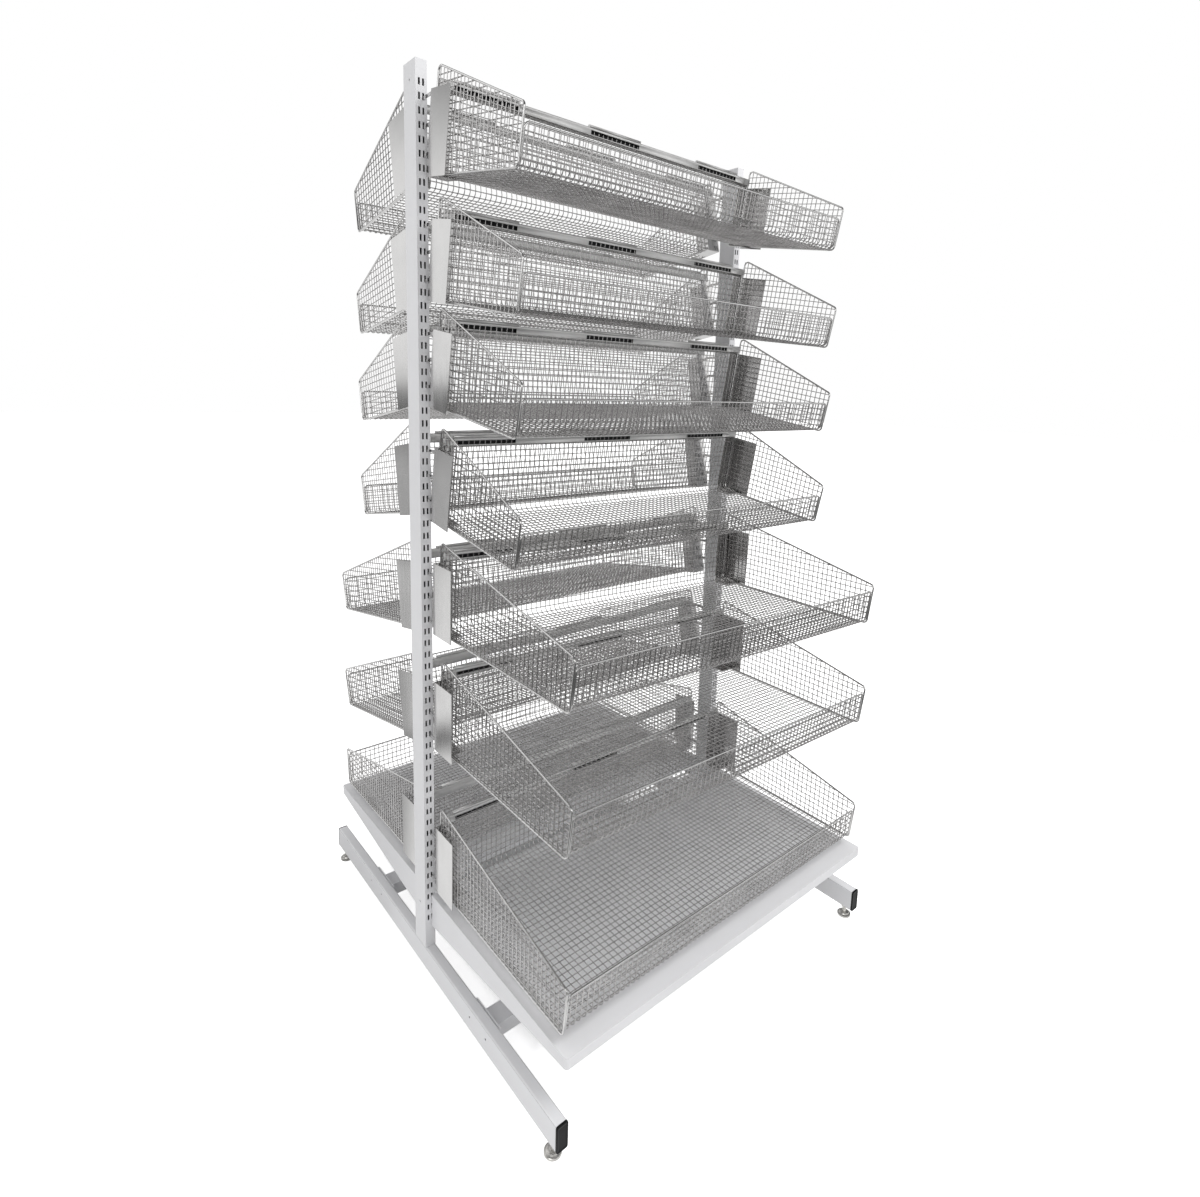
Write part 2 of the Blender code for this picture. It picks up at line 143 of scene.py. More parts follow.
def newGroup(name, inputs, outputs):
    group = bpy.data.node_groups.new(name, "ShaderNodeTree")
    for title, kind, value in inputs:
        group.interface.new_socket(name=title, in_out="INPUT", socket_type=kind).default_value = value
    for title, kind in outputs:
        group.interface.new_socket(name=title, in_out="OUTPUT", socket_type=kind)
    return group, group.nodes.new("NodeGroupInput").outputs, group.nodes.new("NodeGroupOutput").inputs


def useGroup(tree, group, **values):
    node = addNode(tree, "ShaderNodeGroup", node_tree=group)
    for key, value in values.items():
        feed(tree, node.inputs[key], value)
    return node.outputs


def bumpNode(tree, shade, height, strength, distance):
    node = addNode(tree, "ShaderNodeBump")
    node.inputs["Strength"].default_value = strength
    node.inputs["Distance"].default_value = distance
    feed(tree, node.inputs["Height"], height)
    feed(tree, shade.inputs["Normal"], node.outputs[0])


# Handling marks shared by every finish: slow cloudy patches and fine specks, both 0 to 1.
handling = {
    "patch": 7.0, "patchNoise": (4.0, .6), "patchSpread": (.35, .65),
    "speck": 420.0, "speckNoise": (2.0, .5), "speckSpread": (.3, .7),
}


def makeHandling(h):
    number = "NodeSocketFloat"
    group, gin, gout = newGroup("handling_marks", (
        ("Patch Scale", number, h["patch"]), ("Speck Scale", number, h["speck"])),
        (("Patches", number), ("Specks", number)))
    at = objectCoords(group)
    patches = noiseNode(group, at, gin["Patch Scale"], *h["patchNoise"])
    specks = noiseNode(group, at, gin["Speck Scale"], *h["speckNoise"])
    feed(group, gout["Patches"], spreadNode(group, patches, *h["patchSpread"]))
    feed(group, gout["Specks"], spreadNode(group, specks, *h["speckSpread"]))
    return group


handlingMarks = makeHandling(handling)


def marksOn(tree, finish):
    return useGroup(tree, handlingMarks, **{"Patch Scale": finish["patch"], "Speck Scale": finish["speck"]})


def roughBySpecks(tree, shade, marks, rough):
    feed(tree, shade.inputs["Roughness"], spreadNode(tree, marks["Specks"], 0.0, 1.0, *rough))


sprayCoat = {
    "white": (.74, .74, .755, 1), "soiled": (.69, .69, .70, 1), "soil": .35, "rough": (.36, .46),
    "patch": 7.0, "speck": 420.0, "peel": (900.0, 2.0), "peelBump": (.35, .00012),
    # inside a tube: painted shade, near black
    "insideShade": (.03, .03, .032, 1),
}
# the box inside each tube, painted near black as shade: (axis, middle, half width) for three axes
tubeHollow = {
    "upright": ((0, .453, .0097), (1, 0.0, .0232), (2, .90, .9865)),
    "foot": ((0, .453, .0112), (2, .054, .0242), (1, 0.0, .5145)),
}


def coatMaterial(name, hollow=()):
    # white spray coat with a fine orange peel, and painted shade, near black, inside a tube
    c = sprayCoat
    mat, tree, shade = newMaterial(name)
    marks = marksOn(tree, c)
    at = objectCoords(tree)
    soil = mathNode(tree, "MULTIPLY", marks["Patches"], c["soil"])
    colour = mixColour(tree, soil, c["white"], c["soiled"])
    if hollow:
        split = addNode(tree, "ShaderNodeSeparateXYZ")
        feed(tree, split.inputs[0], at)
        inside = 1.0
        for axis, middle, half in hollow:
            off = mathNode(tree, "ABSOLUTE", split.outputs[axis])
            off = mathNode(tree, "ABSOLUTE", mathNode(tree, "SUBTRACT", off, middle))
            inside = mathNode(tree, "MULTIPLY", mathNode(tree, "LESS_THAN", off, half), inside)
        # painted shade: near black inside the tube, so the slots look dark
        colour = mixColour(tree, inside, colour, c["insideShade"])
    feed(tree, shade.inputs["Base Color"], colour)
    roughBySpecks(tree, shade, marks, c["rough"])
    bumpNode(tree, shade, noiseNode(tree, at, *c["peel"]), *c["peelBump"])
    return mat


drawnWire = {
    "light": (.70, .69, .685, 1), "dull": (.53, .52, .515, 1), "rough": (.14, .26),
    "patch": 23.0, "speck": 650.0, "speckBump": (.12, .00006),
}
frameWire = {
    "light": (.76, .755, .75, 1), "dull": (.66, .655, .65, 1), "rough": (.12, .20),
    "patch": 9.0, "speck": 650.0, "speckBump": (.12, .00006),
}


def wireMaterial(name, w):
    # plated drawn wire: duller patches and fine specks
    mat, tree, shade = newMaterial(name)
    marks = marksOn(tree, w)
    feed(tree, shade.inputs["Base Color"], mixColour(tree, marks["Patches"], w["light"], w["dull"]))
    shade.inputs["Metallic"].default_value = 1.0
    roughBySpecks(tree, shade, marks, w["rough"])
    bumpNode(tree, shade, marks["Specks"], *w["speckBump"])
    return mat


bareSheet = {
    "light": (.68, .675, .67, 1), "dull": (.63, .625, .62, 1), "rough": (.11, .20),
    "patch": 14.0, "speck": 300.0,
    "brush": (1400.0, 1400.0, 14.0), "streaks": (.3, .7), "streakBump": (.05, .00003),
}
rolledRail = {
    "light": (.86, .857, .85, 1), "dull": (.80, .797, .79, 1), "rough": (.40, .50),
    "patch": 14.0, "speck": 300.0,
    "brush": (14.0, 1400.0, 1400.0), "streaks": (.3, .7), "streakBump": (.05, .00003),
}


def sheetMaterial(name, s):
    # bare rolled sheet, brushed along its length
    mat, tree, shade = newMaterial(name)
    marks = marksOn(tree, s)
    streaks = noiseNode(tree, stretch(tree, objectCoords(tree), s["brush"]), 1.0)
    feed(tree, shade.inputs["Base Color"], mixColour(tree, marks["Patches"], s["light"], s["dull"]))
    shade.inputs["Metallic"].default_value = 1.0
    feed(tree, shade.inputs["Roughness"], spreadNode(tree, streaks, *s["streaks"], *s["rough"]))
    bumpNode(tree, shade, streaks, *s["streakBump"])
    return mat


mouldedPlastic = {
    "dark": (.006, .006, .0065, 1), "rubbed": (.010, .010, .011, 1), "gloss": .18, "rough": (.42, .58),
    "patch": 40.0, "speck": 900.0, "grainBump": (.3, .0001),
}


def plasticMaterial(name, p):
    # moulded black plastic with a fine spark grain
    mat, tree, shade = newMaterial(name)
    marks = marksOn(tree, p)
    feed(tree, shade.inputs["Base Color"], mixColour(tree, marks["Patches"], p["dark"], p["rubbed"]))
    shade.inputs["Specular IOR Level"].default_value = p["gloss"]
    roughBySpecks(tree, shade, marks, p["rough"])
    bumpNode(tree, shade, marks["Specks"], *p["grainBump"])
    return mat


turnedZinc = {
    "light": (.66, .65, .62, 1), "dull": (.50, .49, .47, 1), "rough": (.24, .40),
    "patch": 90.0, "speck": 800.0, "rings": (60.0, 60.0, 2600.0), "ringDetail": 2.0, "ringBump": (.2, .00008),
}


def zincMaterial(name, z):
    # zinc plate on turned steel: fine rings of the lathe show as a stretched noise
    mat, tree, shade = newMaterial(name)
    marks = marksOn(tree, z)
    feed(tree, shade.inputs["Base Color"], mixColour(tree, marks["Patches"], z["light"], z["dull"]))
    shade.inputs["Metallic"].default_value = 1.0
    roughBySpecks(tree, shade, marks, z["rough"])
    rings = noiseNode(tree, stretch(tree, objectCoords(tree), z["rings"]), 1.0, z["ringDetail"])
    bumpNode(tree, shade, rings, *z["ringBump"])
    return mat


whiteSheet = coatMaterial("white_sheet")
whiteUpright = coatMaterial("white_upright", tubeHollow["upright"])
whiteFoot = coatMaterial("white_foot", tubeHollow["foot"])
brightWire = wireMaterial("bright_wire", drawnWire)
brightFrame = wireMaterial("bright_frame", frameWire)
bracketSteel = sheetMaterial("bracket_steel", bareSheet)
railSteel = sheetMaterial("rail_steel", rolledRail)
blackPlastic = plasticMaterial("black_plastic", mouldedPlastic)
zincPlate = zincMaterial("zinc_plate", turnedZinc)
print("materials made")


# Mesh helpers
def joined(parts):
    # (points, [faces...]) lists laid end to end, with their corner numbers moved on
    points, faces, start = [], [], 0
    for p, f in parts:
        points.append(p)
        faces += [one + start for one in f]
        start += len(p)
    return np.concatenate(points), faces


def makePiece(name, shape, body, material, sharp):
    # a mesh from points and faces, smooth but for edges over the sharp angle, riding on its body
    points, faces = shape
    corners = np.concatenate([f.ravel() for f in faces])
    counts = np.concatenate([np.full(len(f), f.shape[1]) for f in faces])
    mesh = bpy.data.meshes.new(name)
    mesh.vertices.add(len(points))
    mesh.vertices.foreach_set("co", points.astype(np.float32).ravel())
    mesh.loops.add(len(corners))
    mesh.loops.foreach_set("vertex_index", corners.astype(np.int32))
    mesh.polygons.add(len(counts))
    mesh.polygons.foreach_set("loop_start", np.concatenate([[0], np.cumsum(counts)[:-1]]).astype(np.int32))
    mesh.polygons.foreach_set("use_smooth", np.ones(len(counts), bool))
    mesh.update(calc_edges=True)
    mesh.set_sharp_from_angle(angle=math.radians(sharp))
    mesh.materials.append(material)
    piece = bpy.data.objects.new(name, mesh)
    scene.collection.objects.link(piece)
    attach(piece, body)
    return piece


def unit(v):
    return v / np.linalg.norm(v, axis=-1, keepdims=True)


def tubes(paths, radius, sides, across, closed=False):
    # a circle carried along each path: point + radius (cos a * n + sin a * b), where n is the
    # direction across made square to the path and b is the path's direction crossed with n
    n, m, _ = paths.shape
    if closed:
        along = unit(np.roll(paths, -1, 1) - np.roll(paths, 1, 1))
    else:
        along = unit(np.gradient(paths, axis=1))
    first = unit(across - (along @ np.asarray(across, float))[..., None] * along)
    second = np.cross(along, first)
    a = np.arange(sides) * 2 * np.pi / sides
    ring = np.cos(a)[:, None] * first[:, :, None] + np.sin(a)[:, None] * second[:, :, None]
    points = (paths[:, :, None] + radius * ring).reshape(-1, 3)
    k = np.arange(n * m * sides).reshape(n, m, sides)
    side = np.roll(k, -1, 2)
    if closed:
        onward, onwardSide = np.roll(k, -1, 1), np.roll(side, -1, 1)
        return points, [np.stack([k, side, onwardSide, onward], -1).reshape(-1, 4)]
    walls = np.stack([k[:, :-1], side[:, :-1], side[:, 1:], k[:, 1:]], -1).reshape(-1, 4)
    return points, [walls, k[:, 0, ::-1], k[:, -1]]


def roundedPath(corners, radius, steps, closed=False):
    # straight runs between the corners, each corner replaced by an arc that touches both runs
    c = np.asarray(corners, float)
    if closed:
        before, after, here = np.roll(c, 1, 0), np.roll(c, -1, 0), c
    else:
        before, here, after = c[:-2], c[1:-1], c[2:]
    back, on = unit(before - here), unit(after - here)
    half = np.arccos(np.clip((back * on).sum(1), -1, 1)) / 2
    reach = np.broadcast_to(radius, half.shape) / np.tan(half)
    middle = here + unit(back + on) * (reach / np.cos(half))[:, None]
    start, end = here + back * reach[:, None] - middle, here + on * reach[:, None] - middle
    w = (np.pi - 2 * half)[:, None]
    s = np.linspace(0, 1, steps)[None]
    a, b = np.sin((1 - s) * w) / np.sin(w), np.sin(s * w) / np.sin(w)
    arcs = middle[:, None] + a[..., None] * start[:, None] + b[..., None] * end[:, None]
    arcs = arcs.reshape(-1, c.shape[1])
    return arcs if closed else np.concatenate([c[:1], arcs, c[-1:]])


def alongLine(line, marks):
    # points of a line at the given lengths along it, and the line's whole length
    gone = np.concatenate([[0], np.cumsum(np.linalg.norm(np.diff(line, axis=0), axis=1))])
    return np.stack([np.interp(marks, gone, line[:, k]) for k in range(line.shape[1])], -1), gone[-1]


# How each basket hangs: slot row counted from the lowest, then depth, forward tilt in degrees
# and slots that its right end hangs lower.
hanging = {
    "rows": {1: 63, 2: 54, 3: 46, 4: 37, 5: 27, 6: 17, 7: 4}, "lowestSlot": .150, "slotPitch": .025,
    "uprightFace": .025, "standoff": .0215, "pivot": .071, "span": .8978,
    "tiltedFrom": 5, "dropTilted": .0395, "dropLevel": .0235,
    "front": {1: (.302, 9.3, 0), 2: (.302, 9.3, 0), 3: (.302, 9.3, 0), 4: (.302, 9.3, 0),
              5: (.448, 1.0, 1), 6: (.448, 1.0, 1), 7: (.448, 1.0, 0)},
    "back": {1: (.302, 9.3, 0), 2: (.302, 9.3, 0), 3: (.302, 9.3, 0), 4: (.302, 9.3, 0),
             5: (.448, 9.3, 0), 6: (.448, 11.0, 0), 7: (.448, 1.0, 0)},
}


def hang(shape, end, level):
    # local (across, out, up) rolled about the out axis, tilted about the across axis, set on its
    # slot row, and turned half round for the back
    points, faces = shape
    _, tilt, lower = hanging[end][level]
    drop = hanging["dropTilted"] if tilt > hanging["tiltedFrom"] else hanging["dropLevel"]
    t, r = math.radians(tilt), math.atan2(lower * hanging["slotPitch"], hanging["span"])
    x, y, z = points[:, 0], -points[:, 1], points[:, 2]
    x, z = x * math.cos(r) + z * math.sin(r), z * math.cos(r) - x * math.sin(r)
    y, z = y * math.cos(t) - z * math.sin(t), y * math.sin(t) + z * math.cos(t)
    y = y - hanging["uprightFace"] - hanging["standoff"] + hanging["pivot"] * math.sin(t)
    z = z + hanging["lowestSlot"] + (hanging["rows"][level] - lower / 2) * hanging["slotPitch"] - drop
    turn = 1 if end == "front" else -1
    return np.stack([x * turn, y * turn, z], -1), faces


# The wire basket: one bent mesh for back, floor and lip, two framed side panels.
wireBasket = {
    "halfWidth": .4389, "wire": .0010, "frame": .0019, "sides": 6, "frameSides": 10, "sharp": 65.0,
    "acrossPitch": .0126, "acrossCount": 69, "bentPitch": .01335, "panelPitch": .0131,
    "backOut": .0043, "frontIn": .0025, "floorUp": .0025, "layer": .00085, "edge": .4347,
    "bend": .017, "bendSteps": 4, "crossEnd": .006, "crossCuts": 5, "panelEnd": .004,
    "backTop": .1630, "topCrossWire": .1500, "rearHeight": .190, "frontHeight": .097,
    "panelRear": .0018, "panelRound": .011, "lipRound": .010, "roundSteps": 6, "wander": .00025,
}
lipOf = {.302: (.072, 2.0), .448: (.082, 4.9)}   # lip height and forward lean for each depth
# directions that the wires' rings start from, none of them along a wire
ringFrom = {"mesh": (1, 0, 0), "cross": (0, .6, .8), "edge": (.55, .6, .58)}


def bentLine(depth, shift):
    # back, floor and lip as one line in (out, up), shifted inwards from the mesh's middle
    w = wireBasket
    lip, lean = lipOf[depth]
    slope = math.tan(math.radians(lean))
    front = depth - w["frontIn"] - shift
    top = lip - w["frame"]
    corners = [(w["backOut"] + shift, w["backTop"]), (w["backOut"] + shift, w["floorUp"] + shift),
               (front, w["floorUp"] + shift), (front + top * slope, top)]
    return roundedPath(corners, w["bend"] - shift, w["bendSteps"])


def basketWires(depth):
    w = wireBasket
    lean = math.tan(math.radians(lipOf[depth][1]))
    parts = []
    # bent wires from the rail down the back, along the floor and up the lip
    line = bentLine(depth, -w["layer"])
    x = (np.arange(w["acrossCount"]) - (w["acrossCount"] - 1) / 2) * w["acrossPitch"]
    x = x + rng.normal(0, w["wander"], x.shape)
    bent = np.empty((len(x), len(line), 3))
    bent[..., 0], bent[..., 1:] = x[:, None], line[None]
    bent[..., 0] += rng.normal(0, w["wander"] / 2, bent.shape[:2])
    parts.append(tubes(bent, w["wire"], w["sides"], ringFrom["mesh"]))
    # straight cross wires laid on them, at even lengths along the inner line
    inner = bentLine(depth, w["layer"])
    total = alongLine(inner, np.zeros(1))[1]
    marks = np.arange(w["backTop"] - w["topCrossWire"], total - w["crossEnd"], w["bentPitch"])
    at = alongLine(inner, marks + rng.normal(0, w["wander"], marks.shape))[0]
    ends = np.linspace(-w["edge"], w["edge"], w["crossCuts"])
    cross = np.empty((len(at), len(ends), 3))
    cross[..., 0], cross[..., 1:] = ends[None], at[:, None]
    parts.append(tubes(cross, w["wire"], w["sides"], ringFrom["cross"]))
    # side panels: upright wires outside and level wires inside, both ending at the top edge, which falls
    # in a straight line from the rear height to the front height
    for side in (-1, 1):
        out = np.arange(w["panelRear"] + w["panelPitch"], depth - w["panelEnd"], w["panelPitch"])
        out = out + rng.normal(0, w["wander"], out.shape)
        upright = np.zeros((len(out), 2, 3))
        upright[..., 0] = side * (w["halfWidth"] + w["layer"])
        upright[..., 1] = out[:, None]
        rise = w["rearHeight"] - (w["rearHeight"] - w["frontHeight"]) * (out / depth)
        upright[:, 0, 2], upright[:, 1, 2] = w["frame"], rise - w["frame"]
        parts.append(tubes(upright, w["wire"], w["sides"], ringFrom["mesh"]))
        up = np.arange(w["panelPitch"], w["rearHeight"] - w["panelEnd"], w["panelPitch"])
        up = up + rng.normal(0, w["wander"], up.shape)
        reach = np.where(up < w["frontHeight"], depth + up * lean - w["frame"],
                         depth * (w["rearHeight"] - up) / (w["rearHeight"] - w["frontHeight"]))
        level = np.zeros((len(up), 2, 3))
        level[..., 0] = side * (w["halfWidth"] - w["layer"])
        level[:, 0, 1], level[:, 1, 1] = w["panelRear"] + w["frame"], reach
        level[..., 2] = up[:, None]
        parts.append(tubes(level, w["wire"], w["sides"], ringFrom["mesh"]))
    return joined(parts)


def basketFrame(depth):
    w = wireBasket
    slope = math.tan(math.radians(lipOf[depth][1]))
    f = w["frame"]
    parts = []
    # closed frame of each side panel
    loop = [(w["panelRear"] + f, f), (depth - f, f),
            (depth - f + w["frontHeight"] * slope, w["frontHeight"] - f),
            (w["panelRear"] + f, w["rearHeight"] - f)]
    ring = roundedPath(loop, w["panelRound"] - f, w["roundSteps"], closed=True)
    for side in (-1, 1):
        path = np.concatenate([np.full((len(ring), 1), side * w["halfWidth"]), ring], 1)
        parts.append(tubes(path[None], f, w["frameSides"], ringFrom["mesh"], closed=True))
    # edge wire of the bent mesh: up one side, over the lip and down the other
    line = bentLine(depth, 0)
    left = np.concatenate([np.full((len(line), 1), -w["edge"]), line], 1)
    right = left[::-1] * (-1, 1, 1)
    over = roundedPath([left[-2], left[-1], right[0], right[1]], w["lipRound"], w["roundSteps"])
    path = np.concatenate([left[:-2], over, right[2:]])
    parts.append(tubes(path[None], f, w["frameSides"], ringFrom["edge"]))
    return joined(parts)


# Folded sheet rail over the top of the back, with three windows and a hollow clip above each, and a black
# strip of painted shade behind the windows.
backRail = {
    "low": .1505, "backLow": .146, "top": .1655, "back": .0014, "front": .0094, "edge": .4362,
    "bend": .0016, "bendSteps": 4, "sheet": .0008, "sharp": 30,
    "windows": (-.340, -.020, .312), "windowWidth": .138, "windowLow": .1525, "windowHigh": .1610,
    "clipLength": .146, "clipTop": .1705, "clipBack": .0012, "clipFront": .0084,
    "clipSeat": .00048, "clipBend": .0014, "clipCuts": 3,
    "shadeStripBack": .0020, "shadeStripFront": .0034, "shadeStripLow": .1515, "shadeStripHigh": .1635,
    "shadeStripRound": .0004, "shadeStripSteps": 3, "shadeStripEnd": .003, "shadeStripCuts": 9,
}


def sheetGrid(line, x, keep=None):
    # a line in (out, up) carried along x, as a grid of quads, leaving out the cells not kept
    n, m = len(x), len(line)
    points = np.empty((n, m, 3))
    points[..., 0], points[..., 1:] = x[:, None], line[None]
    k = np.arange(n * m).reshape(n, m)
    quads = np.stack([k[:-1, :-1], k[1:, :-1], k[1:, 1:], k[:-1, 1:]], -1)
    quads = quads[keep] if keep is not None else quads.reshape(-1, 4)
    return points.reshape(-1, 3), [quads]


def railSheet():
    # down the back, over the top and down the front, without the cells of the windows
    r = backRail
    fold = roundedPath([(r["back"], r["backLow"]), (r["back"], r["top"]), (r["front"], r["top"]),
                        (r["front"], r["windowHigh"])], r["bend"], r["bendSteps"])
    line = np.concatenate([fold, [(r["front"], r["windowLow"]), (r["front"], r["low"])]])
    half = r["windowWidth"] / 2
    cuts = np.array([(c - half, c + half) for c in r["windows"]]).ravel()
    x = np.concatenate([[-r["edge"]], cuts, [r["edge"]]])
    keep = np.ones((len(x) - 1, len(line) - 1), bool)
    keep[1::2, len(fold) - 1] = False
    return sheetGrid(line, x, keep)


def railClips():
    # an arch that stands on the rail's top, carried along x above each window
    r = backRail
    foot = r["top"] + r["clipSeat"]
    arch = roundedPath([(r["clipBack"], foot), (r["clipBack"], r["clipTop"]), (r["clipFront"], r["clipTop"]),
                        (r["clipFront"], foot)], r["clipBend"], r["bendSteps"])
    half = r["clipLength"] / 2
    return joined([sheetGrid(arch, np.linspace(c - half, c + half, r["clipCuts"])) for c in r["windows"]])


def railShadeStrip():
    # black strip behind the windows, painted shade for the dark inside of the fold: a small rounded box
    # profile carried along x
    r = backRail
    corners = [(r["shadeStripBack"], r["shadeStripLow"]), (r["shadeStripFront"], r["shadeStripLow"]),
               (r["shadeStripFront"], r["shadeStripHigh"]), (r["shadeStripBack"], r["shadeStripHigh"])]
    loop = roundedPath(corners, r["shadeStripRound"], r["shadeStripSteps"], closed=True)
    x = np.linspace(-r["edge"] + r["shadeStripEnd"], r["edge"] - r["shadeStripEnd"], r["shadeStripCuts"])
    n, m = len(x), len(loop)
    points = np.empty((n, m, 3))
    points[..., 0], points[..., 1:] = x[:, None], loop[None]
    k = np.arange(n * m).reshape(n, m)
    side = np.roll(k, -1, 1)
    walls = np.stack([k[:-1], k[1:], side[1:], side[:-1]], -1).reshape(-1, 4)
    return points.reshape(-1, 3), [walls, k[:1], k[-1:, ::-1]]


def thicken(piece, sheet):
    mod = piece.modifiers.new("sheet", "SOLIDIFY")
    mod.thickness, mod.offset = sheet, 0


worst = 0
for end in ("front", "back"):
    for level in range(1, 8):
        depth = hanging[end][level][0]
        body, tag = f"{end}_basket_{level}", f"{end}_{level}"
        mesh, edging, fold, arches, strip = (hang(shape, end, level) for shape in (
            basketWires(depth), basketFrame(depth), railSheet(), railClips(), railShadeStrip()))
        wires = makePiece(f"wires_{tag}", mesh, body, brightWire, wireBasket["sharp"])
        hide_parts(f"basket_{tag}")
        edges = makePiece(f"frame_{tag}", edging, body, brightFrame, wireBasket["sharp"])
        rail = makePiece(f"rail_{tag}", fold, body, railSteel, backRail["sharp"])
        clips = makePiece(f"clips_{tag}", arches, body, railSteel, backRail["sharp"])
        # black strip behind the windows: painted shade for the inside of the fold
        makePiece(f"shade_strip_{tag}", strip, body, blackPlastic, backRail["sharp"])
        for folded in (rail, clips):
            thicken(folded, backRail["sheet"])
        low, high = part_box(f"basket_{tag}")
        made = np.array([v[:] for o in (wires, edges) for v in o.bound_box])
        worst = max(worst, np.abs(made.min(0) - low).max(), np.abs(made.max(0) - high).max())
print("baskets made; farthest from a basket's box:", round(float(worst) * 1000, 2), "mm")


# Levelling foot: a dished disc, a threaded stud and a lock nut, all turned about the stud's line.
levellingFoot = {
    "profile": [(.0010, .0006), (.0132, .0006), (.0140, 0), (.0154, 0), (.0160, .0010),
                (.0160, .0040), (.0150, .0052), (.0121, .0058), (.0111, .0084), (.0095, .0093),
                (.0064, .0100), (.0046, .0110)],
    "corner": .00035, "cornerSteps": 3, "around": 72, "sharp": 40,
    "stud": .0045, "studLow": .0106, "studTop": .0437, "studAround": 36,
    "thread": .0004, "pitch": .00125, "threadRows": 6,
    "nut": .0085, "nutLow": .0217, "nutTop": .0277, "nutChamfer": .0010, "nutFace": .97,
}


def turned(radius, height, middle):
    # rows of radius over the angle a: (middle + radius cos a, middle + radius sin a, height), ends closed
    n, m = radius.shape
    a = np.arange(m) * 2 * np.pi / m
    points = np.stack([middle[0] + radius * np.cos(a), middle[1] + radius * np.sin(a),
                       np.broadcast_to(height[:, None], radius.shape)], -1)
    k = np.arange(n * m).reshape(n, m)
    side = np.roll(k, -1, 1)
    walls = np.stack([k[:-1], side[:-1], side[1:], k[1:]], -1).reshape(-1, 4)
    return points.reshape(-1, 3), [walls, k[:1, ::-1], k[-1:]]


def levellerShape(middle):
    f = levellingFoot
    # disc: the profile in (radius, height) with its corners rounded, turned about the stud's line
    line = roundedPath(f["profile"], f["corner"], f["cornerSteps"])
    disc = turned(np.repeat(line[:, :1], f["around"], 1), line[:, 1], middle)
    # thread: a triangle wave of turns up the stud, drawn in over the last turn at its top
    tall = f["studTop"] - f["studLow"]
    turns = tall / f["pitch"]
    up = np.linspace(0, 1, int(turns * f["threadRows"]))
    wave = np.abs((up[:, None] * turns - np.arange(f["studAround"]) / f["studAround"]) % 1 * 2 - 1)
    end = np.clip((1 - up) * turns, 0, 1)[:, None]
    stud = turned(f["stud"] - f["thread"] * (1 + wave - end), f["studLow"] + up * tall, middle)
    # nut: flat-to-flat radius over the cosine of the angle from the nearest flat, cut by a chamfer cone
    a = np.arange(f["around"]) * 2 * np.pi / f["around"]
    flat = f["nut"] * math.cos(math.pi / 6)
    hexagon = flat / np.cos((a + math.pi / 6) % (math.pi / 3) - math.pi / 6)
    c, low, top = f["nutChamfer"], f["nutLow"], f["nutTop"]
    high = np.array([low, low, low + c / 2, low + c, top - c, top - c / 2, top, top])
    cone = [f["stud"] - f["thread"], flat * f["nutFace"], (flat + f["nut"]) / 2, f["nut"]]
    cone = np.array(cone + cone[::-1])
    nut = turned(np.minimum(hexagon[None], cone[:, None]), high, middle)
    return joined([disc, stud, nut])


# End plug of a foot: rounded rectangles from the plug's inner end out to a flange with a low rim.
# Each row is (depth in from the face, inset of the outline, how much the corner tightens).
endPlug = {
    "half": (.0120, .0260), "round": .0040, "steps": 6, "sharp": 40,
    "rows": [(.0203, .0023, .0010), (.0042, .0023, .0010), (.0040, 0, 0), (.0012, 0, 0),
             (.0004, .0003, .0002), (0, .0011, .0006), (0, .0022, .0010), (.0005, .0028, .0012),
             (.0007, .0060, .0020)],
}


def plugShape(middle, outward):
    # a rounded rectangle for each row, set in from the face by its depth and joined to the next, ends closed
    p = endPlug
    loops = []
    for depth, inset, tighter in p["rows"]:
        a, b = p["half"][0] - inset, p["half"][1] - inset
        corners = [(-a, -b), (a, -b), (a, b), (-a, b)]
        loop = roundedPath(corners, p["round"] - tighter, p["steps"], closed=True)
        y = np.full(len(loop), middle[1] - outward * depth)
        loops.append(np.stack([middle[0] + loop[:, 0], y, middle[2] + loop[:, 1]], -1))
    points = np.stack(loops)
    n, m = points.shape[:2]
    k = np.arange(n * m).reshape(n, m)
    if outward > 0:
        k = k[:, ::-1]
    side = np.roll(k, -1, 1)
    walls = np.stack([k[:-1], side[:-1], side[1:], k[1:]], -1).reshape(-1, 4)
    return points.reshape(-1, 3), [walls, k[:1, ::-1], k[-1:]]


for end, outward in (("front", -1), ("back", 1)):
    for hand in ("left", "right"):
        node = f"levelling_foot_{end}_{hand}"
        low, high = (np.array(c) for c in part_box(node))
        shape = levellerShape((low + high)[:2] / 2)
        foot = makePiece(f"leveller_{end}_{hand}", shape, f"leveller_{end}_{hand}", zincPlate,
                         levellingFoot["sharp"])
        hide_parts(node)
        node = f"end_cap_{end}_{hand}"
        low, high = (np.array(c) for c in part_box(node))
        face = high if outward > 0 else low
        middle = np.array([(low + high)[0] / 2, face[1], (low + high)[2] / 2])
        shape = plugShape(middle, outward)
        plug = makePiece(f"plug_{end}_{hand}", shape, "frame", blackPlastic,
                         endPlug["sharp"])
        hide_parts(node)
print("levelling feet and end plugs made")


# Finishes of the CAD pieces that stay
finishOf = {
    "upright": whiteUpright, "base_foot": whiteFoot, "base_deck": whiteSheet, "cross_rail": whiteSheet,
    "bracket": bracketSteel,
}
for name, node in nodes.items():
    for start, finish in finishOf.items():
        if name.startswith(start):
            node.data.materials.clear()
            node.data.materials.append(finish)
print("finishes set")


# Pale floor, white to the camera, which keeps the shadow
paleFloor = {
    "size": 60.0, "cuts": 3, "dull": (.79, .79, .79, 1), "light": (.81, .81, .81, 1), "rough": .8,
    "patch": 1.5, "patchSpread": (.3, .7), "white": .72, "under": (.30, .38), "underMiddle": .06,
}
